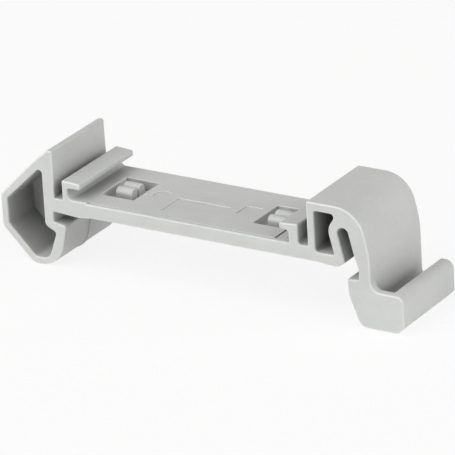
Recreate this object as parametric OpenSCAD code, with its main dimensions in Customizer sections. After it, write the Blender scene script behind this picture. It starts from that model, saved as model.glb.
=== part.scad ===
// Clip-on adapter for a top-hat rail, moulded in one piece.
// X runs across the rail, Y along it and Z up. The origin is the middle of the rail seat,
// on the underside of the plate. The hook is at -X and the sprung latch at +X.

/* [Rail] */
// Width of the rail over its two brims
rail_w = 35; // [34:0.1:36]
// Thickness of the rail's brims
brim_t = 1; // [0.8:0.05:1.3]
// Play between a brim and the ledges under it
brim_play = 0.08; // [0.02:0.01:0.2]

/* [Body] */
// Width of the adapter along the rail
body_w = 10.1; // [8:0.05:16]
// Thickness of the plate between hook and latch
plate_t = 1.5; // [1.2:0.1:2]
// Depth of the hook's foot and the latch's foot below the plate
foot_drop = 6; // [5.4:0.1:7]
// How far the seat pads stand out below the plate
pad_drop = 0.2; // [0.05:0.01:0.3]
// Distance of the pads' crests from the middle of the rail
pad_x = 14.4; // [13.8:0.1:15]
// Length of the slope on the inner side of a pad
pad_run = 1.4; // [1:0.1:2]

/* [Hook] */
// Distance from the end of the brim notch to the hook's back
hook_reach = 6.24; // [5.8:0.02:7]
// Wall around the hollow of the hook
hook_wall = 0.8; // [0.6:0.05:1]
// Wall between the hollow and the brim notch
notch_wall = 1.1; // [0.8:0.05:1.3]
// Height of the tall wall above the plate's underside
wall_top = 6.5; // [5.5:0.1:7]
// Set-back of the tall wall's rear end from the plate's rear edge
wall_in = 0.35; // [0.1:0.05:0.5]
// Overhang of the tall wall's inner face past the end of the notch
wall_over = 0.25; // [0:0.05:0.5]
// Height of the upright stretch of the hook's back
back_h = 3.4; // [2.6:0.1:3.8]
// Depth of the middle of that stretch below the plate's underside
back_drop = 0.8; // [0.5:0.05:1.2]
// Slope of the hook's back above that stretch
high_slope = 43.5; // [40:0.5:46]
// Bow of that slope out of a straight line
slope_bow = 0.12; // [0.02:0.02:0.2]
// Slope of the hook's back below that stretch
low_slope = 45.5; // [42:0.5:50]
// Reach of the hook's nose under the brim
hook_nose = 1.4; // [1:0.05:1.7]
// Fall of the hook's ledge from the notch to the nose
ledge_fall = 0.26; // [0.1:0.02:0.4]
// How far the foot stands in from the end of the notch
foot_in = 0.38; // [0.1:0.01:0.6]
// Thickness of the web that closes the hollow at mid width
web_t = 0.75; // [0.5:0.05:1.5]
// Wall between the hollow and the nose, at the hollow's ceiling
nose_wall = 1.23; // [1.1:0.01:1.4]
// Lean of the hollow's face beside the nose
hollow_lean = 19.5; // [17:0.5:22]
// Thickness of the ledge under the brim, at the nose
ledge_t = 0.9; // [0.7:0.05:1.1]
// Rise of the hollow's ceiling from the nose to the notch wall
ceiling_rise = 0.6; // [0.4:0.05:0.8]
// Height of the ridge across the nose's face, where the mould parts
ridge_rise = 0.12; // [0.05:0.01:0.2]
// Thickness of that ridge
ridge_t = 0.3; // [0.2:0.05:0.6]

/* [Module channel] */
// Offset of the channel's middle from the middle of the rail
channel_off = 2.7; // [2.2:0.1:3]
// Clear width between the tips of the two lips
mouth_w = 23; // [22:0.1:23.6]
// Overhang of the lip beside the hook
hook_lip = 1.45; // [1:0.05:1.6]
// Overhang of the lip beside the latch
latch_lip = 1; // [0.8:0.05:1.2]
// Thickness of the stem beside the hook
hook_stem = 0.65; // [0.5:0.05:0.8]
// Thickness of the stem beside the latch
latch_stem = 1.1; // [0.8:0.05:1.3]
// Height of the channel under the lips
lip_gap = 1.3; // [1:0.05:1.6]
// Thickness of a lip at its tip
lip_t = 0.65; // [0.5:0.05:0.9]
// Rise of a lip's top from its tip to its stem
lip_rise = 0.14; // [0:0.02:0.3]

/* [Detents] */
// Distance between the middles of the two windows
window_pitch = 17.6; // [16:0.1:18]
// Length of a window across the rail
window_l = 3.8; // [3.4:0.1:4.4]
// Width of a window along the rail
window_w = 4.8; // [4:0.1:5.4]
// Length of a detent rib
rib_l = 1.9; // [1.5:0.1:2.4]
// Width of a detent rib
rib_w = 1.15; // [0.9:0.05:1.25]
// Spacing of the two ribs in a window
rib_pitch = 1.33; // [1.3:0.01:1.6]
// Height of the ribs above the plate
rib_rise = 0.5; // [0.2:0.02:0.8]
// Thickness of the springy bridge that carries the ribs
bridge_t = 0.5; // [0.35:0.05:0.8]

/* [Raised field] */
// Height of the raised field between the lips
field_rise = 0.12; // [0.05:0.01:0.2]
// Margin of the raised field at the plate's front edge
field_margin = 0.4; // [0.2:0.05:0.8]
// Depth of the recesses in the field
recess_depth = 0.12; // [0.06:0.01:0.3]
// Length of the large recess across the rail
panel_l = 6; // [4:0.05:6.4]
// Width of the large recess along the rail
panel_w = 3.4; // [2.2:0.1:3.6]
// Middle of the large recess, from the middle of the rail
panel_x = -2.8; // [-3:0.05:-2.4]
// Distance of the large recess's middle in front of mid width
panel_y = 1.75; // [1.2:0.05:2]
// Diameter of the round recess
dial_d = 1.8; // [1.6:0.1:2.4]
// Middle of the round recess, from the middle of the rail
dial_x = -7.74; // [-8:0.02:-7.2]
// Length and width of the small square recess
tag_l = 2; // [1.4:0.1:2.4]
// Middle of the small recess, from the middle of the rail
tag_x = 2.4; // [2:0.05:2.6]

/* [Latch] */
// Length of the latch block from its inner wall to the face that meets the rail
block_l = 5.55; // [5.2:0.05:6]
// Height of the latch block above the plate's underside
block_top = 6.2; // [5.6:0.1:6.6]
// Inner wall of the latch block
block_wall = 0.82; // [0.6:0.02:1]
// Roof over the hole in the latch block
roof_t = 0.9; // [0.7:0.05:1.1]
// Floor under the hole in the latch block
floor_t = 1.05; // [0.8:0.05:1.3]
// Width of the slot that frees the spring leg
slot_w = 1.2; // [1:0.05:1.3]
// Lean of the slot and the upper leg
slot_lean = 14; // [10:1:16]
// Height of the middle of the slot's round end above the plate's underside
slot_h = 3.43; // [3.1:0.01:3.7]
// Distance of that middle from the face that meets the rail
slot_in = 1.58; // [1.4:0.02:1.7]
// Web between the hole and the slot
slot_web = 1; // [0.8:0.05:1.1]
// Height of the toe's tip above the plate's underside
toe_h = 0.45; // [0.3:0.05:0.7]
// Thickness of the spring leg beside the rail
leg_t = 1.28; // [1:0.02:1.5]
// Height at which the leg's outer face starts to lean
leg_bend = 1.7; // [1.2:0.1:2.2]
// Reach of the latch's nose under the brim
latch_nose = 1.3; // [0.9:0.02:1.4]
// Fall of the latch's ledge from the leg to the nose
latch_fall = 0.08; // [0:0.02:0.2]
// Depth of the bend in the latch's guide below the plate's underside
guide_drop = 2.7; // [2.3:0.1:3.5]
// Lean of the guide below its bend
guide_lean = 21.5; // [15:0.5:26]

/* [Pry tab] */
// Depth of the tab's top below the plate's underside
tab_drop = 2.05; // [1.9:0.05:2.8]
// Length of the tab beyond the leg
tab_l = 3.56; // [3:0.02:4.2]
// Thickness of the tab's upright lip
tab_lip = 1.5; // [1:0.05:1.7]
// Chamfer under the tab's outer end
tab_chamfer = 0.82; // [0.4:0.02:1.2]
// Thickness of the wall that closes the trough at the front
trough_wall = 1; // [0.6:0.05:1.5]
// Thickness of the trough's floor
trough_floor = 1.7; // [1.2:0.05:2]

/* [Corner radii] */
// Small inside corners
tight_r = 0.12; // [0.05:0.01:0.2]
// Small outside corners
edge_r = 0.2; // [0.1:0.02:0.3]
// Seat pads and toe
pad_r = 1.2; // [0.8:0.1:4]
// Top of the tall wall towards the back
wall_r = 0.6; // [0.3:0.05:1]
// Upper corner of the hook's back
back_high_r = 1; // [0.5:0.05:1.5]
// Bow of the hook's upper slope
bow_r = 8; // [2:0.5:12]
// Lower corner of the hook's back
back_low_r = 0.9; // [0.5:0.05:1.5]
// Corner between the hook's back and foot
heel_r = 1.5; // [0.8:0.05:2]
// Corner between the hook's foot and nose
foot_r = 2.9; // [1.5:0.1:3.5]
// Smallest corners of the hook's hollow
hollow_r = 0.35; // [0.2:0.05:0.5]
// Corner of the hollow between its ceiling and the notch wall
ceiling_r = 0.65; // [0.3:0.05:0.8]
// Corner of the hollow between its floor and the nose
floor_r = 0.9; // [0.5:0.05:1.1]
// Corner of the stem beside the hook with the plate
hook_stem_r = 0.5; // [0.3:0.05:0.9]
// Corners of the stem beside the latch
latch_stem_r = 0.35; // [0.1:0.05:0.5]
// Hole of the latch block
block_r = 0.35; // [0.2:0.05:0.5]
// Bends of the leg's inner face
leg_r = 1.2; // [0.6:0.1:2]
// Bend of the leg's outer face
lean_r = 10; // [4:0.5:12]
// Spring's shoulder
shoulder_r = 3.2; // [2:0.1:3.4]
// Bend of the latch's guide
guide_r = 4; // [2:0.5:6]
// Inner corner of the latch's foot
latch_foot_r = 1.1; // [0.2:0.05:1.3]
// Upper corner of the pry tab's outer end
tab_r = 0.8; // [0.4:0.05:1.2]
// Fillets of the leg with the tab's front wall and with the trough's floor
tab_fillet = 0.95; // [0.4:0.05:1.1]

/* [Hidden] */

// Largest turn of one straight step along a rounded corner, in degrees
arc_step = 10;
// Largest share of an edge that the rounded corners at its two ends may use
corner_share = 0.98;
// Share of a width that rounds its end in full
full_round = 0.49;
// How far a cut passes the surface that it opens, and a joined solid goes into its carrier
past = 1;
bite = 0.3;

// Rail seat: both ends of the rail's brims, and the height of the ledges under them
notch_x = -rail_w / 2;
latch_x = rail_w / 2;
ledge_z = -(brim_t + brim_play);

// Hook
back_x = notch_x - hook_reach;
back_high = back_h / 2 - back_drop;
back_low = -back_h / 2 - back_drop;
wall_x = notch_x + wall_over;
nose_x = notch_x + hook_nose;
nose_z = ledge_z - ledge_fall;
foot_x = notch_x + foot_in;

// Lines of the hook's sloped back, or of the surface one wall inside it
function high_z(x, wall = 0) = back_high + (x - back_x) * tan(high_slope) - wall / cos(high_slope);
function high_x(z) = back_x + (z - back_high) / tan(high_slope);
function low_z(x, wall = 0) = back_low - (x - back_x) * tan(low_slope) + wall / cos(low_slope);
function low_x(z, wall = 0) = back_x + (back_low + wall / cos(low_slope) - z) / tan(low_slope);

// Crest of the bow in the hook's upper slope
slope_share = 0.7;
slope_mid = slope_share * [high_x(wall_top), wall_top] + (1 - slope_share) * [back_x, back_high]
  + slope_bow * [-sin(high_slope), cos(high_slope)];

// Hollow of the hook
hollow_x = notch_x - notch_wall;
hollow_back = back_x + hook_wall;
hollow_floor = -foot_drop + hook_wall;
hollow_top = nose_z - ledge_t;
hollow_step = hollow_top + ceiling_rise;
hollow_front = nose_x - nose_wall;
hollow_foot = hollow_front - (hollow_top - hollow_floor) * tan(hollow_lean);
function inner_r(r) = max(r - hook_wall, hollow_r);

// Module channel
hook_tip = -channel_off - mouth_w / 2;
latch_tip = -channel_off + mouth_w / 2;
hook_stem_x = hook_tip - hook_lip;
latch_stem_x = latch_tip + latch_lip;
lip_under = plate_t + lip_gap;
lip_top = lip_under + lip_t;
stem_top = lip_top + lip_rise;
field_top = plate_t + field_rise;
field_l = window_pitch + window_l;
field_w = body_w - field_margin;
field_x = -channel_off - field_l / 2;
recess_floor = field_top - recess_depth;
dial_sides = 48;

// Latch
block_x = latch_x - block_l;
hole_x = block_x + block_wall;
hole_top = block_top - roof_t;
slot_c = [latch_x - slot_in, slot_h];
slot_up = [-sin(slot_lean), cos(slot_lean)];
slot_side = [cos(slot_lean), sin(slot_lean)] * slot_w / 2;
slot_end = slot_c + slot_up * slot_w / 2;
leg_x = latch_x + leg_t;
shoulder_x = leg_x - (block_top - leg_bend) * tan(slot_lean);
nose_tip_x = latch_x - latch_nose;
latch_foot_x = nose_tip_x + (foot_drop - guide_drop) * tan(guide_lean);
tab_x = leg_x + tab_l;
lip_x = tab_x - tab_lip;

// Point at height z on the line through "from" in the direction "way"
function along(from, way, z) = from + way * (z - from[1]) / way[1];

// The web's side of the hole wraps round the slot's end, between two tangents of one circle
web_r = slot_w / 2 + slot_web;
web_low = [-cos(slot_lean), -sin(slot_lean)];
web_turn = 33;
web_high = [-cos(web_turn), sin(web_turn)];
web_corner = slot_c + web_r * (web_low + web_high) / (1 + web_low * web_high);

function unit(v) = v / norm(v);
function flat(p) = [p[0], p[1]];
function direction(v) = atan2(v[1], v[0]);
function ray(a) = [cos(a), sin(a)];
function short_turn(a) = a > 180 ? a - 360 : a < -180 ? a + 360 : a;

// Half of the angle at the corner p, and the reach of its arc along both edges
function half_angle(before, p, after) =
  acos(unit(flat(before) - flat(p)) * unit(flat(after) - flat(p))) / 2;
function arc_reach(before, at, after) = at[2] / tan(half_angle(before, at, after));

// Share of its reach that an arc gets on an edge where two arcs meet
function squeeze(a, b, reach) =
  let (room = corner_share * norm(flat(b) - flat(a)))
  room / max(room, reach);

// Arc that rounds the corner "at" with the reach given along both edges
function corner(before, at, after, reach) =
  let (
    p = flat(at),
    u = unit(flat(before) - p),
    v = unit(flat(after) - p),
    half = half_angle(before, at, after),
    r = reach * tan(half),
    centre = p + unit(u + v) * r / sin(half),
    start = direction(p + u * reach - centre),
    turn = short_turn(direction(p + v * reach - centre) - start),
    steps = ceil(abs(turn) / arc_step)
  )
  at[2] == 0 ? [p] : [for (i = [0:steps]) centre + r * ray(start + turn * i / steps)];

// Outline with every corner rounded; each corner is [x, z, radius]
function rounded(corners) =
  let (
    n = len(corners),
    before = [for (i = [0:n - 1]) corners[(i + n - 1) % n]],
    after = [for (i = [0:n - 1]) corners[(i + 1) % n]],
    want = [for (i = [0:n - 1]) arc_reach(before[i], corners[i], after[i])],
    fit = [for (i = [0:n - 1]) squeeze(corners[i], after[i], want[i] + want[(i + 1) % n])]
  )
  [for (i = [0:n - 1])
    each corner(before[i], corners[i], after[i], want[i] * min(fit[i], fit[(i + n - 1) % n]))];

// Underside from the brim notch to the toe under the latch block
underside = [
  [notch_x, 0, tight_r],
  [-pad_x, -pad_drop, pad_r],
  [-pad_x + pad_run, 0, pad_r],
  [pad_x - pad_run, 0, pad_r],
  [pad_x + pad_run / 2, -pad_drop, pad_r],
  [each along(slot_c - slot_side, slot_up, toe_h), edge_r]
];

// Slot between the web and the spring leg, and the leg's face beside the rail
spring_slot = [
  [each (slot_end - slot_side), slot_w * full_round],
  [each (slot_end + slot_side), slot_w * full_round],
  [each along(slot_c + slot_side, slot_up, plate_t), leg_r],
  [latch_x, -pad_drop / 2, leg_r],
  [latch_x, ledge_z, tight_r]
];

// Nose, guide and foot of the latch, the pry tab and the outside of the spring
latch_outside = [
  [nose_tip_x, ledge_z - latch_fall, edge_r],
  [nose_tip_x, -guide_drop, guide_r],
  [latch_foot_x, -foot_drop, latch_foot_r],
  [tab_x - tab_chamfer, -foot_drop, edge_r],
  [tab_x, -foot_drop + tab_chamfer, edge_r],
  [tab_x, -tab_drop, tab_r],
  [leg_x, -tab_drop, tab_fillet],
  [leg_x, leg_bend, lean_r],
  [shoulder_x, block_top, shoulder_r],
  [block_x, block_top, edge_r],
  [block_x, plate_t, tight_r]
];

// Top of the plate with the two lips that hold the module's foot
channel = [
  [latch_stem_x + latch_stem, plate_t, latch_stem_r],
  [latch_stem_x + latch_stem, stem_top, edge_r],
  [latch_tip, lip_top, edge_r],
  [latch_tip, lip_under, edge_r],
  [latch_stem_x, lip_under, latch_stem_r],
  [latch_stem_x, plate_t, tight_r],
  [field_x, plate_t, 0],
  [field_x, field_top, 0],
  [hook_stem_x, field_top, hook_stem_r],
  [hook_stem_x, lip_under, edge_r],
  [hook_tip, lip_under, edge_r],
  [hook_tip, lip_top, edge_r],
  [hook_stem_x - hook_stem, stem_top, edge_r],
  [hook_stem_x - hook_stem, plate_t, tight_r]
];

// Tall wall, sloped back, foot and nose of the hook
hook_outside = [
  [wall_x, plate_t, tight_r],
  [wall_x, wall_top, edge_r],
  [high_x(wall_top), wall_top, wall_r],
  [each slope_mid, bow_r],
  [back_x, back_high, back_high_r],
  [back_x, back_low, back_low_r],
  [low_x(-foot_drop), -foot_drop, heel_r],
  [foot_x, -foot_drop, foot_r],
  [nose_x, nose_z, edge_r],
  [notch_x, ledge_z, tight_r]
];

body_outline = concat(underside, spring_slot, latch_outside, channel, hook_outside);

// Space inside the hook
hook_hollow = [
  [hollow_x, high_z(hollow_x, hook_wall), hollow_r],
  [hollow_back, high_z(hollow_back, hook_wall), inner_r(back_high_r)],
  [hollow_back, low_z(hollow_back, hook_wall), inner_r(back_low_r)],
  [low_x(hollow_floor, hook_wall), hollow_floor, inner_r(heel_r)],
  [hollow_foot, hollow_floor, floor_r],
  [hollow_front, hollow_top, hollow_r],
  [hollow_x, hollow_step, ceiling_r]
];

// Hole that leaves the web and roof of the latch block free to flex
block_hole = [
  [hole_x, floor_t, block_r],
  [each along(slot_c + web_r * web_low, slot_up, floor_t), edge_r],
  [each web_corner, web_r],
  [each along(slot_c + web_r * web_high, [sin(web_turn), cos(web_turn)], hole_top), block_r],
  [hole_x, hole_top, edge_r]
];

// Rounded rib seen along X
rib_outline = [
  [-rib_w / 2, bridge_t - bite, 0],
  [rib_w / 2, bridge_t - bite, 0],
  [rib_w / 2, plate_t + rib_rise, rib_w * full_round],
  [-rib_w / 2, plate_t + rib_rise, rib_w * full_round]
];

// Extrudes an outline in X and Z over a stretch of the width, from y0 to y1
module across(y0 = -body_w / 2, y1 = body_w / 2)
  translate([0, y1, 0])
    rotate([90, 0, 0])
      linear_extrude(y1 - y0)
        children();

// Box from its middle in X and Y, its length and width, and its lower and upper height
module slab(x, y, l, w, z0, z1)
  translate([x - l / 2, y - w / 2, z0])
    cube([l, w, z1 - z0]);

module moulded_profile()
  across()
    difference() {
      polygon(rounded(body_outline));
      polygon(rounded(block_hole));
    }

// The hollow is open at both ends, with the web between
module hook_pockets() {
  across(-body_w / 2 - past, -web_t / 2) polygon(rounded(hook_hollow));
  across(web_t / 2, body_w / 2 + past) polygon(rounded(hook_hollow));
}

// Rear end of the tall wall, above the plate
module wall_step()
  across(body_w / 2 - wall_in, body_w / 2 + past)
    polygon([
      [back_x - past, plate_t],
      [wall_x + tight_r, plate_t],
      [wall_x + tight_r, wall_top + past],
      [back_x - past, wall_top + past]
    ]);

// Ridge across the nose's face, from the front of the hollow's web
module nose_ridge()
  across(-web_t / 2, ridge_t - web_t / 2)
    intersection() {
      translate([ridge_rise, 0]) polygon(rounded(body_outline));
      polygon([
        [hollow_front + bite, nose_z],
        [hollow_foot + bite, -foot_drop],
        [nose_x + past, -foot_drop],
        [nose_x + past, nose_z]
      ]);
    }

// Trough behind the tab's front wall, open at the top and at the rear
module pry_trough()
  across(-body_w / 2 + trough_wall, body_w / 2 + past)
    polygon(rounded([
      [leg_x, -foot_drop + trough_floor, tab_fillet],
      [lip_x, -foot_drop + trough_floor, edge_r],
      [lip_x, -tab_drop + past, 0],
      [leg_x, -tab_drop + past, 0]
    ]));

// Raised field behind its front margin, level with the foot of the stem beside the hook
module raised_field()
  slab(-channel_off, field_margin / 2, field_l + tight_r, field_w, plate_t - bite, field_top);

module field_recesses() {
  slab(panel_x, -panel_y, panel_l, panel_w, recess_floor, field_top + past);
  slab(tag_x, 0, tag_l, tag_l, recess_floor, field_top + past);
  translate([dial_x, 0, recess_floor]) cylinder(h = recess_depth + past, d = dial_d, $fn = dial_sides);
}

// Puts its children at the middle of each window
module at_windows()
  for (side = [-1, 1])
    translate([-channel_off + side * window_pitch / 2, 0, 0])
      children();

module windows()
  at_windows() slab(0, 0, window_l, window_w, -past, field_top + past);

// Rounded ribs side by side on a bridge along each window
module detents()
  at_windows() {
    slab(0, 0, rib_l, window_w + 2 * bite, 0, bridge_t);
    for (side = [-1, 1])
      translate([-rib_l / 2, side * rib_pitch / 2, 0])
        rotate([90, 0, 90])
          linear_extrude(rib_l)
            polygon(rounded(rib_outline));
  }

module rail_adapter() {
  color("lightgray") {
    difference() {
      union() {
        moulded_profile();
        raised_field();
      }
      hook_pockets();
      wall_step();
      pry_trough();
      windows();
      field_recesses();
    }
    detents();
    nose_ridge();
  }
}

rail_adapter();
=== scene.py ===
"""Looks of a clip-on adapter for a top-hat rail, moulded in one piece of grey polyamide."""

import logging
import math
from dataclasses import dataclass
from enum import Enum
from typing import Any, Optional, Union

import bmesh
import bpy
from mathutils import Matrix, Vector
from mathutils.bvhtree import BVHTree


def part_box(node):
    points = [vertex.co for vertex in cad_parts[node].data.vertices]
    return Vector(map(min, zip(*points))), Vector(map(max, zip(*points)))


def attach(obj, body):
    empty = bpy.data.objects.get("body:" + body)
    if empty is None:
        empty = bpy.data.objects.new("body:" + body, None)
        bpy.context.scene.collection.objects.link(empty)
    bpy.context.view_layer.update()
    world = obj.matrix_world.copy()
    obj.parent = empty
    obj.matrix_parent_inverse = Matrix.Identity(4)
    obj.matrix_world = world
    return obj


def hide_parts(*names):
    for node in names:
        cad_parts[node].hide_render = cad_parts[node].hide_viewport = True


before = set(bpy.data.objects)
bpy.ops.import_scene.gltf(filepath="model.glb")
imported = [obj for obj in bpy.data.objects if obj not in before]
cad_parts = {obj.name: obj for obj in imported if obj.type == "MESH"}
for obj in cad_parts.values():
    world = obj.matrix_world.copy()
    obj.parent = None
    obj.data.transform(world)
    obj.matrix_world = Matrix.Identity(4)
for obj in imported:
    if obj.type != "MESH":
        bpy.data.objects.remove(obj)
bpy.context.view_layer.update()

LOG = logging.getLogger("rail_adapter")
MM = 0.001
ADAPTER = "rail_adapter"
# Vertex attribute that holds the painted highlight on eased edges.
EDGE_HIGHLIGHT = "edge_highlight"
FACE_WEIGHTS = "__mod_weightednormals_faceweight"
CAD_NORMALS = "custom_normal"
NOISE_MEAN = 0.5
WHITE = 1.0

Colour = tuple[float, float, float]
Term = Union["Signal", float]
Inputs = dict[Union[str, int], Any]


class MathStep(Enum):
    """Operations of a Math node that the finishes use."""

    ADD = "ADD"
    SUBTRACT = "SUBTRACT"
    MULTIPLY = "MULTIPLY"
    MAXIMUM = "MAXIMUM"
    POWER = "POWER"


class Signal:
    """A node's output that takes part in Python arithmetic."""

    def __init__(self, graph: "ShaderGraph", socket: bpy.types.NodeSocket) -> None:
        """Keeps the socket and the graph that it belongs to."""
        self.graph = graph
        self.socket = socket

    def __add__(self, other: Term) -> "Signal":
        """Sum of two values."""
        return self.graph.math(MathStep.ADD, self, other)

    def __radd__(self, other: Term) -> "Signal":
        """Sum, with the signal second."""
        return self.graph.math(MathStep.ADD, other, self)

    def __sub__(self, other: Term) -> "Signal":
        """Difference of two values."""
        return self.graph.math(MathStep.SUBTRACT, self, other)

    def __rsub__(self, other: Term) -> "Signal":
        """Difference, with the signal second."""
        return self.graph.math(MathStep.SUBTRACT, other, self)

    def __mul__(self, other: Term) -> "Signal":
        """Product of two values."""
        return self.graph.math(MathStep.MULTIPLY, self, other)

    def __rmul__(self, other: Term) -> "Signal":
        """Product, with the signal second."""
        return self.graph.math(MathStep.MULTIPLY, other, self)

    def __pow__(self, other: Term) -> "Signal":
        """Power of a value."""
        return self.graph.math(MathStep.POWER, self, other)

    def __rpow__(self, other: Term) -> "Signal":
        """Power, with the signal as the exponent."""
        return self.graph.math(MathStep.POWER, other, self)

    def __or__(self, other: Term) -> "Signal":
        """The larger of two masks."""
        return self.graph.math(MathStep.MAXIMUM, self, other)

    def __ror__(self, other: Term) -> "Signal":
        """The larger of two masks, with the signal second."""
        return self.graph.math(MathStep.MAXIMUM, other, self)


class ShaderGraph:
    """Node tree of a material or a world, filled node by node."""

    def __init__(self, tree: bpy.types.NodeTree) -> None:
        """Empties the tree that the nodes go into."""
        self.tree = tree
        tree.nodes.clear()

    @staticmethod
    def _find(sockets: Any, key: Union[str, int]) -> bpy.types.NodeSocket:
        """Finds a socket.

        Args:
            sockets: Inputs or outputs of one node.
            key: The socket's identifier, its name or its number.

        Returns:
            The socket.
        """
        if isinstance(key, int):
            return sockets[key]
        return next((s for s in sockets if s.identifier == key), None) or sockets[key]

    def node(
        self, kind: str, settings: Optional[dict[str, Any]] = None, inputs: Optional[Inputs] = None
    ) -> bpy.types.Node:
        """Adds one node.

        Args:
            kind: Blender's name of the node's type.
            settings: Properties of the node, which are set first.
            inputs: Values or links of its input sockets.

        Returns:
            The node.
        """
        made = self.tree.nodes.new(kind)
        for key, value in (settings or {}).items():
            setattr(made, key, value)
        for key, value in (inputs or {}).items():
            socket = self._find(made.inputs, key)
            if isinstance(value, Signal):
                self.tree.links.new(value.socket, socket)
            else:
                socket.default_value = value
        return made

    def out(self, node: bpy.types.Node, key: Union[str, int] = 0) -> Signal:
        """Output of a node as a signal."""
        return Signal(self, self._find(node.outputs, key))

    def math(self, step: MathStep, first: Term, second: Term) -> Signal:
        """Adds a Math node.

        Args:
            step: The operation.
            first: First value or signal.
            second: Second value or signal.

        Returns:
            The result.
        """
        inputs = {0: first, 1: second}
        return self.out(self.node("ShaderNodeMath", {"operation": step.value}, inputs))

    def blend(self, share: Term, first: Any, second: Any) -> Signal:
        """Mixes two colours.

        Args:
            share: Share of the second colour.
            first: First colour or signal.
            second: Second colour or signal.

        Returns:
            The mixed colour.
        """
        inputs = {"Factor_Float": share, "A_Color": first, "B_Color": second}
        return self.out(self.node("ShaderNodeMix", {"data_type": "RGBA"}, inputs), "Result_Color")

    def noise(self, place: Signal, size: float, detail: float) -> Signal:
        """Adds a noise of a given grain size.

        Args:
            place: Coordinates in metres.
            size: Size of one cell in metres.
            detail: Number of finer octaves.

        Returns:
            Values around NOISE_MEAN.
        """
        inputs = {"Vector": place, "Scale": 1 / size, "Detail": detail}
        return self.out(self.node("ShaderNodeTexNoise", None, inputs), "Fac")

    def shade_mask(self, reach: float, samples: int) -> Signal:
        """Adds an ambient-occlusion mask for painted shade: the places that the piece itself
        closes in.

        Args:
            reach: How far off a wall still counts, in metres.
            samples: Number of directions that are tried at a place.

        Returns:
            Zero on open faces, up to one in the depth of a hole.
        """
        settings = {"only_local": True, "samples": samples}
        node = self.node("ShaderNodeAmbientOcclusion", settings, {"Distance": reach})
        return 1 - self.out(node, "AO")


def rgba(colour: Colour) -> tuple[float, float, float, float]:
    """Opaque colour for a socket."""
    return (*colour, 1.0)


@dataclass(frozen=True)
class SatinPolyamide:
    """Grey moulded polyamide with a fine satin grain.

    Two colours are mixed by clouds, streaks along the part and specks. Edges are lighter by a
    painted highlight, and the depth of holes and gaps is darker by painted shade.
    """

    name: str = "satin_polyamide"
    colour: Colour = (0.635, 0.645, 0.64)
    cloud_colour: Colour = (0.45, 0.458, 0.45)
    # Colour of the painted highlight on edges.
    highlight_colour: Colour = (0.7, 0.71, 0.695)
    # Painted shade in holes, gaps and pockets: its near-black colour, the power of the occlusion
    # mask, the mask's reach and its samples.
    painted_shade_colour: Colour = (0.055, 0.055, 0.054)
    painted_shade_power: float = 4.5
    painted_shade_reach: float = 7 * MM
    painted_shade_samples: int = 16
    roughness: float = 0.48
    roughness_spread: float = 0.1
    refraction: float = 1.53
    cloud_size: float = 5 * MM
    cloud_detail: float = 3
    cloud_share: float = 0.55
    streak_size: float = 0.35 * MM
    streak_stretch: tuple[float, float, float] = (0.06, 1, 1)
    streak_share: float = 0.25
    speck_size: float = 0.3 * MM
    speck_share: float = 0.2
    grain_size: float = 0.1 * MM
    grain_height: float = 0.004 * MM
    grain_strength: float = 0.6
    fine_detail: float = 2

    def material(self) -> bpy.types.Material:
        """Builds the material.

        Returns:
            A node material on the piece's own coordinates.
        """
        made = bpy.data.materials.new(self.name)
        made.use_nodes = True
        graph = ShaderGraph(made.node_tree)
        place = graph.out(graph.node("ShaderNodeTexCoord"), "Object")
        along = graph.node(
            "ShaderNodeVectorMath", {"operation": "MULTIPLY"}, {0: place, 1: self.streak_stretch}
        )
        cloud = graph.noise(place, self.cloud_size, self.cloud_detail)
        streak = graph.noise(graph.out(along), self.streak_size, self.fine_detail)
        speck = graph.noise(place, self.speck_size, self.fine_detail)
        grain = graph.noise(place, self.grain_size, self.fine_detail)
        shade = self.cloud_share * cloud + self.streak_share * streak + self.speck_share * speck
        skin = graph.blend(shade, rgba(self.cloud_colour), rgba(self.colour))
        # Painted shade: the base colour darkens towards a near-black colour where the piece closes
        # in on itself.
        painted_shade = graph.shade_mask(self.painted_shade_reach, self.painted_shade_samples) ** self.painted_shade_power
        shaded_skin = graph.blend(painted_shade, skin, rgba(self.painted_shade_colour))
        # Painted highlight: eased edges are lighter, by the strength stored on the mesh.
        highlight = graph.out(graph.node("ShaderNodeAttribute", {"attribute_name": EDGE_HIGHLIGHT}), "Fac")
        bump = graph.node("ShaderNodeBump", None, {
            "Strength": self.grain_strength,
            "Distance": self.grain_height,
            "Height": grain,
        })
        surface = graph.node("ShaderNodeBsdfPrincipled", None, {
            "Base Color": graph.blend(highlight, shaded_skin, rgba(self.highlight_colour)),
            "Roughness": self.roughness + (speck - NOISE_MEAN) * self.roughness_spread,
            "IOR": self.refraction,
            "Normal": graph.out(bump),
        })
        graph.node("ShaderNodeOutputMaterial", None, {"Surface": graph.out(surface)})
        return made


class FaceStrength(Enum):
    """Weight of a face in the shading of its corners, in Blender's own numbers."""

    WEAK = -16384
    STRONG = 16384


class EdgeClass(Enum):
    """Sharp outer edges between the two ends, each with its radius in millimetres.

    WALL_END is the rear end of the tall wall, TROUGH the rim of the tab's trough, TRIM the ribs
    and windows, and FINE the borders of the recesses and the ridge on the nose.
    """

    WALL_END = 0.18
    TROUGH = 0.22
    TRIM = 0.1
    FINE = 0.06


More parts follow.
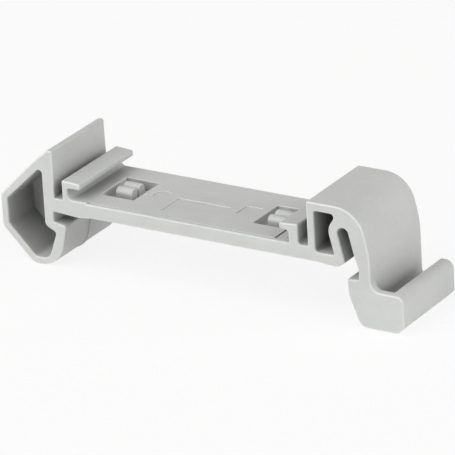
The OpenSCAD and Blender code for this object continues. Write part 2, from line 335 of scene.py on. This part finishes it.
@dataclass
class AdapterMoulding:
    """The one-piece adapter: plate, hook, latch and tab in one skin with eased edges.

    Lengths and places are in metres, in the frame of the CAD. The values upright, raised,
    squarish and square are the least cosine between a face's normal and an axis.
    """

    node: str
    finish: SatinPolyamide
    name: str = "adapter_moulding"
    body: str = "root"
    slot: str = "polyamide"
    weld: float = 0.001 * MM
    flat_angle: float = math.radians(1)
    sharp_angle: float = math.radians(45)
    raised: float = 0.1
    upright: float = 0.5
    squarish: float = 0.9
    square: float = 0.99
    rim: float = 0.18 * MM
    fine_width: float = 0.18 * MM
    wall_set_back: float = 0.5 * MM
    wall_start: float = 2 * MM
    rib_reach: float = 1.3 * MM
    rib_foot: float = 0.45 * MM
    field_top: float = 1.62 * MM
    field_end: float = 7.9 * MM
    field_reach: float = 4.5 * MM
    ridge_reach: float = 0.5 * MM
    ridge_length: float = 0.3 * MM
    field_cuts: tuple[float, ...] = (-11.5 * MM, -9.1 * MM, 3.8 * MM, 6.1 * MM)
    edge_steps: int = 3
    # Painted highlight on edges: free room, fan of directions in degrees, and the hole test with
    # its share.
    highlight_room: float = 1.8 * MM
    highlight_fan: tuple[float, ...] = (-60, -30, 0, 30, 60)
    hole_reach: float = 12 * MM
    hole_highlight: float = 0.4

    def build(self) -> bpy.types.Object:
        """Builds the piece from the frame's node.

        Returns:
            The dressed object, riding on the frame.
        """
        skin = self._rounded_skin()
        skin.materials.append(self.finish.material())
        piece = bpy.data.objects.new(self.name, skin)
        bpy.context.scene.collection.objects.link(piece)
        even = piece.modifiers.new("even_normals", "WEIGHTED_NORMAL")
        even.keep_sharp = True
        even.use_face_influence = True
        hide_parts(self.node)
        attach(piece, self.body)
        return piece

    def _rounded_skin(self) -> bpy.types.Mesh:
        """Copies the node's mesh and eases its outer edges.

        Returns:
            A new mesh with smooth shading.
        """
        form = bmesh.new()
        form.from_mesh(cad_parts[self.node].data)
        bmesh.ops.remove_doubles(form, verts=form.verts, dist=self.weld)
        self._part_field(form)
        bmesh.ops.dissolve_limit(
            form, angle_limit=self.flat_angle, verts=form.verts, edges=form.edges, delimit={"SEAM"}
        )
        ends = tuple(corner.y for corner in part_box(self.node))
        eased = [face for kind in EdgeClass for face in self._ease_edges(form, kind, ends)]
        for level, side in zip(ends, (-1, 1)):
            eased += self._ease_end(form, level, side)
        bmesh.ops.dissolve_degenerate(form, dist=self.weld, edges=form.edges)
        eased = {face for face in eased if face.is_valid}
        # Painted highlight: stores on each eased edge how light it is painted.
        self._mark_highlight(form, eased)
        weight = form.faces.layers.int.new(FACE_WEIGHTS)
        for face in form.faces:
            face.smooth = True
            face[weight] = (FaceStrength.WEAK if face in eased else FaceStrength.STRONG).value
        for edge in form.edges:
            edge.smooth = edge.calc_face_angle(0) < self.sharp_angle
        self._list_faces(form)
        skin = bpy.data.meshes.new(self.name)
        form.to_mesh(skin)
        form.free()
        skin.attributes.remove(skin.attributes[CAD_NORMALS])
        return skin

    def _part_field(self, form: bmesh.types.BMesh) -> None:
        """Parts the raised field beside and across its windows, so that each face has one outline.

        Args:
            form: The merged mesh.
        """
        for place in self.field_cuts:
            field = [
                face for face in form.faces
                if face.normal.z > self.square
                and abs(face.calc_center_median().z - self.field_top) < self.weld
            ]
            parts = dict.fromkeys(part for face in field for part in (*face.verts, *face.edges))
            cut = bmesh.ops.bisect_plane(
                form, geom=[*field, *parts], dist=self.weld,
                plane_co=(place, 0, 0), plane_no=(1, 0, 0),
            )
            for part in cut["geom_cut"]:
                if isinstance(part, bmesh.types.BMEdge):
                    part.seam = True

    def _ease_edges(
        self, form: bmesh.types.BMesh, kind: EdgeClass, ends: tuple[float, ...]
    ) -> list[bmesh.types.BMFace]:
        """Rounds the edges of one class.

        Args:
            form: The merged mesh.
            kind: The class of the edges.
            ends: Places of the two ends along Y, in metres.

        Returns:
            The new rounded faces.
        """
        chosen = [edge for edge in form.edges if self._class_of(edge, ends) is kind]
        rounded = bmesh.ops.bevel(
            form, geom=chosen, offset=kind.value * MM, offset_type="OFFSET", affect="EDGES",
            segments=self.edge_steps, profile=0.5, material=-1, clamp_overlap=False,
        )
        LOG.info("%s edges eased: %d", kind.name.lower(), len(chosen))
        return rounded["faces"]

    def _ease_end(
        self, form: bmesh.types.BMesh, level: float, side: int
    ) -> list[bmesh.types.BMFace]:
        """Rounds the rim of one end of the moulding, whose walls all run along Y.

        Args:
            form: The merged mesh.
            level: Place of the end along Y, in metres.
            side: Direction of the end along Y.

        Returns:
            The new rounded faces.
        """
        end = [
            face for face in form.faces
            if face.normal.y * side > self.square
            and abs(face.calc_center_median().y - level) < self.weld
        ]
        turns = [math.pi / 2 * step / self.edge_steps for step in range(self.edge_steps + 1)]
        rounded = []
        self._shift(form, end, -side * self.rim)
        for last, turn in zip(turns, turns[1:]):
            inset = self.rim * (math.cos(last) - math.cos(turn))
            ring = bmesh.ops.inset_region(
                form, faces=end, use_boundary=True, use_even_offset=True, thickness=inset
            )
            rounded += ring["faces"]
            self._shift(form, end, side * self.rim * (math.sin(turn) - math.sin(last)))
        LOG.info("rim of an end eased: %d faces", len(rounded))
        return rounded

    def _mark_highlight(self, form: bmesh.types.BMesh, eased: set[bmesh.types.BMFace]) -> None:
        """Marks the middle of each eased edge with the strength of its painted highlight, for the
        finish.

        Args:
            form: The mesh with its eased edges.
            eased: Faces of those edges.
        """
        form.normal_update()
        highlight = form.verts.layers.float.new(EDGE_HIGHLIGHT)
        walls = BVHTree.FromBMesh(form)
        for vert in form.verts:
            if vert.link_faces and all(face in eased for face in vert.link_faces):
                vert[highlight] = self._openness(vert, walls)

    def _openness(self, vert: bmesh.types.BMVert, walls: BVHTree) -> float:
        """Says how open a place on an edge is, which sets the strength of its painted highlight.

        Args:
            vert: The place.
            walls: Faces of the moulding.

        Returns:
            One on an outer edge, less in a gap and a set share at a hole.
        """
        outward = Vector((vert.normal.x, 0, vert.normal.z)).normalized()
        start = vert.co + outward * self.weld
        if walls.ray_cast(start, outward, self.hole_reach)[0]:
            return self.hole_highlight
        fan = [Matrix.Rotation(math.radians(turn), 3, "Y") @ outward for turn in self.highlight_fan]
        free = [way for way in fan if not walls.ray_cast(start, way, self.highlight_room)[0]]
        return len(free) / len(fan)

    @staticmethod
    def _shift(form: bmesh.types.BMesh, faces: list[bmesh.types.BMFace], way: float) -> None:
        """Moves faces along Y."""
        verts = list(dict.fromkeys(vert for face in faces for vert in face.verts))
        bmesh.ops.translate(form, verts=verts, vec=(0, way, 0))

    @staticmethod
    def _list_faces(form: bmesh.types.BMesh) -> None:
        """Lists the faces by their corners, because bevel's own order changes from run to run.

        Args:
            form: The finished mesh.
        """
        form.verts.index_update()
        ranked = sorted(form.faces, key=lambda face: sorted(vert.index for vert in face.verts))
        rank = {face: place for place, face in enumerate(ranked)}
        form.faces.sort(key=lambda face: rank[face])

    def _class_of(self, edge: bmesh.types.BMEdge, ends: tuple[float, ...]) -> Optional[EdgeClass]:
        """Says how far an edge is rounded.

        Args:
            edge: Edge of the merged mesh.
            ends: Places of the two ends along Y, in metres.

        Returns:
            Its class, or none for an inner, smooth or hidden edge and the rims of the two ends.
        """
        if len(edge.link_faces) != 2 or edge.calc_face_angle_signed() < self.sharp_angle:
            return None
        front, rear = ends
        middle = (edge.verts[0].co + edge.verts[1].co) / 2
        if min(middle.y - front, rear - middle.y) < self.weld:
            return None
        normals = [face.normal for face in edge.link_faces]
        reach = max(abs(vert.co.y) for vert in edge.verts)
        if rear - middle.y < self.wall_set_back:
            outer = any(n.z > self.raised or n.x > self.squarish for n in normals)
            return EdgeClass.WALL_END if outer and middle.z > self.wall_start else None
        faces_up = any(n.z > self.upright for n in normals)
        if middle.z < 0 and middle.x < 0:
            central = abs(middle.y) < self.ridge_reach and edge.calc_length() > self.ridge_length
            stepped = any(abs(n.y) > self.squarish for n in normals)
            return EdgeClass.FINE if central and stepped else None
        if middle.z < 0:
            return EdgeClass.TROUGH if faces_up else None
        if min(self._width_beside(edge, face) for face in edge.link_faces) < self.fine_width:
            on_top = abs(middle.z - self.field_top) < self.weld
            return EdgeClass.FINE if on_top and reach < self.field_reach else None
        on_rib = middle.z > self.rib_foot and reach < self.rib_reach
        on_plate = faces_up and middle.x < self.field_end
        return EdgeClass.TRIM if on_rib or on_plate else None

    @staticmethod
    def _width_beside(edge: bmesh.types.BMEdge, face: bmesh.types.BMFace) -> float:
        """Width of a face square to one of its edges.

        Args:
            edge: The edge.
            face: A face that it bounds.

        Returns:
            The face's reach from the edge, in metres.
        """
        start = edge.verts[0].co
        across = face.normal.cross(edge.verts[1].co - start).normalized()
        return max(abs((v.co - start).dot(across)) for v in face.verts)


@dataclass(frozen=True)
class Softbox:
    """A square studio lamp that faces the object."""

    name: str
    azimuth: float
    elevation: float
    distance: float
    side: float
    watts: float
    tint: Colour = (1, 1, 1)

    def place(self, aim: Vector) -> bpy.types.Object:
        """Sets the lamp up.

        Args:
            aim: Point that it faces.

        Returns:
            The lamp's object.
        """
        lamp = bpy.data.lights.new(self.name, "AREA")
        lamp.size = self.side
        lamp.energy = self.watts
        lamp.color = self.tint
        box = bpy.data.objects.new(self.name, lamp)
        bpy.context.scene.collection.objects.link(box)
        back = direction(self.azimuth, self.elevation)
        box.location = aim + back * self.distance
        box.rotation_euler = back.to_track_quat("Z", "Y").to_euler()
        LOG.info("lamp %s", self.name)
        return box


@dataclass(frozen=True)
class PaleFloor:
    """Plain pale floor under the part, white to the camera and lightly shaded by the part."""

    name: str = "studio_floor"
    colour: Colour = (0.9, 0.9, 0.9)
    whiteness: float = 0.85
    glow: float = 0.12
    side: float = 2.0
    gap: float = 0.02 * MM

    def build(self, height: float) -> bpy.types.Object:
        """Lays the floor.

        Args:
            height: Height of the floor in metres.

        Returns:
            The floor's object.
        """
        sheet = bmesh.new()
        bmesh.ops.create_grid(sheet, x_segments=1, y_segments=1, size=self.side / 2)
        bmesh.ops.translate(sheet, verts=sheet.verts, vec=(0, 0, height - self.gap))
        mesh = bpy.data.meshes.new(self.name)
        sheet.to_mesh(mesh)
        sheet.free()
        mesh.materials.append(self._material())
        floor = bpy.data.objects.new(self.name, mesh)
        bpy.context.scene.collection.objects.link(floor)
        LOG.info("floor %s", self.name)
        return floor

    def _material(self) -> bpy.types.Material:
        """Builds a matt floor that the camera sees as nearly white, and sees through from below.

        Returns:
            The floor's material.
        """
        made = bpy.data.materials.new("pale_floor")
        made.use_nodes = True
        graph = ShaderGraph(made.node_tree)
        matt = graph.out(graph.node("ShaderNodeBsdfDiffuse", None, {"Color": rgba(self.colour)}))
        glow = graph.out(graph.node("ShaderNodeEmission", None, {"Strength": self.glow}))
        white = graph.out(graph.node("ShaderNodeEmission", None, {"Strength": WHITE}))
        seen = seen_rays(graph)
        lit = graph.out(graph.node("ShaderNodeAddShader", None, {0: matt, 1: glow}))
        shaded = graph.out(graph.node("ShaderNodeMixShader", None, {0: seen, 1: lit, 2: matt}))
        inputs = {0: seen * self.whiteness, 1: shaded, 2: white}
        above = graph.out(graph.node("ShaderNodeMixShader", None, inputs))
        below = graph.out(graph.node("ShaderNodeBsdfTransparent"))
        side = graph.out(graph.node("ShaderNodeNewGeometry"), "Backfacing")
        surface = graph.node("ShaderNodeMixShader", None, {0: side, 1: above, 2: below})
        graph.node("ShaderNodeOutputMaterial", None, {"Surface": graph.out(surface)})
        return made


@dataclass(frozen=True)
class PhotoCamera:
    """Camera at the photograph's angle, for a square frame."""

    name: str = "photo_camera"
    azimuth: float = 32.68
    elevation: float = 22.83
    roll: float = -3.29
    distance: float = 487.6 * MM
    aim: tuple[float, float, float] = (1.92 * MM, -3.46 * MM, 1.10 * MM)
    frame_px: float = 455
    focal_px: float = 5000
    near: float = 10 * MM

    def place(self) -> bpy.types.Object:
        """Sets the camera up as the scene's own.

        Returns:
            The camera's object.
        """
        lens = bpy.data.cameras.new(self.name)
        lens.lens = lens.sensor_width * self.focal_px / self.frame_px
        lens.clip_start = self.near
        camera = bpy.data.objects.new(self.name, lens)
        bpy.context.scene.collection.objects.link(camera)
        back = direction(self.azimuth, self.elevation)
        roll = Matrix.Rotation(math.radians(self.roll), 3, "Z")
        camera.location = Vector(self.aim) + back * self.distance
        camera.rotation_euler = (back.to_track_quat("Z", "Y").to_matrix() @ roll).to_euler()
        bpy.context.scene.camera = camera
        LOG.info("camera %s, %.1f mm", self.name, lens.lens)
        return camera


@dataclass(frozen=True)
class Studio:
    """Soft light round the part: three softboxes, a dim sky and a pale floor."""

    name: str = "studio_sky"
    sky: float = 0.04
    lamps: tuple[Softbox, ...] = (
        Softbox(
            "overhead_box", azimuth=-32, elevation=55, distance=0.6,
            side=0.6, watts=2.55, tint=(1, 0.99, 0.955),
        ),
        Softbox(
            "front_box", azimuth=-28, elevation=10, distance=0.6,
            side=0.5, watts=2.45, tint=(0.99, 1, 1.01),
        ),
        Softbox(
            "right_box", azimuth=102, elevation=26, distance=0.6,
            side=0.5, watts=2.45, tint=(1, 1, 0.98),
        ),
    )

    def build(self, node: str) -> None:
        """Sets up the sky, the lamps and the floor.

        Args:
            node: The node that the light falls on.
        """
        low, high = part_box(node)
        world = bpy.data.worlds.new(self.name)
        world.use_nodes = True
        graph = ShaderGraph(world.node_tree)
        strength = self.sky + seen_rays(graph) * (WHITE - self.sky)
        colour = rgba((WHITE, WHITE, WHITE))
        sky = graph.node("ShaderNodeBackground", None, {"Color": colour, "Strength": strength})
        graph.node("ShaderNodeOutputWorld", None, {"Surface": graph.out(sky)})
        bpy.context.scene.world = world
        for lamp in self.lamps:
            lamp.place((low + high) / 2)
        PaleFloor().build(low.z)


def direction(azimuth: float, elevation: float) -> Vector:
    """Unit vector away from the part.

    Args:
        azimuth: Degrees round the part, 0 in front of it and 90 at its right.
        elevation: Degrees above the floor.

    Returns:
        The direction.
    """
    turn, rise = math.radians(azimuth), math.radians(elevation)
    level = math.cos(rise)
    return Vector((math.sin(turn) * level, -math.cos(turn) * level, math.sin(rise)))


def seen_rays(graph: ShaderGraph) -> Signal:
    """Adds a mask of the rays that show the background: the camera's, mirrored and passed ones.

    Args:
        graph: Node tree that the mask goes into.

    Returns:
        One for such a ray and zero for light that falls on the part.
    """
    path = graph.node("ShaderNodeLightPath")
    shown = graph.out(path, "Is Camera Ray") | graph.out(path, "Is Glossy Ray")
    return shown | graph.out(path, "Is Transmission Ray")


def main() -> None:
    """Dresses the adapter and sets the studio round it."""
    logging.basicConfig(level=logging.INFO, format="%(name)s: %(message)s")
    bpy.context.scene.view_settings.view_transform = "Standard"
    piece = AdapterMoulding(ADAPTER, SatinPolyamide()).build()
    LOG.info("piece %s, %d faces", piece.name, len(piece.data.polygons))
    Studio().build(ADAPTER)
    PhotoCamera().place()


if __name__ == "__main__":
    main()
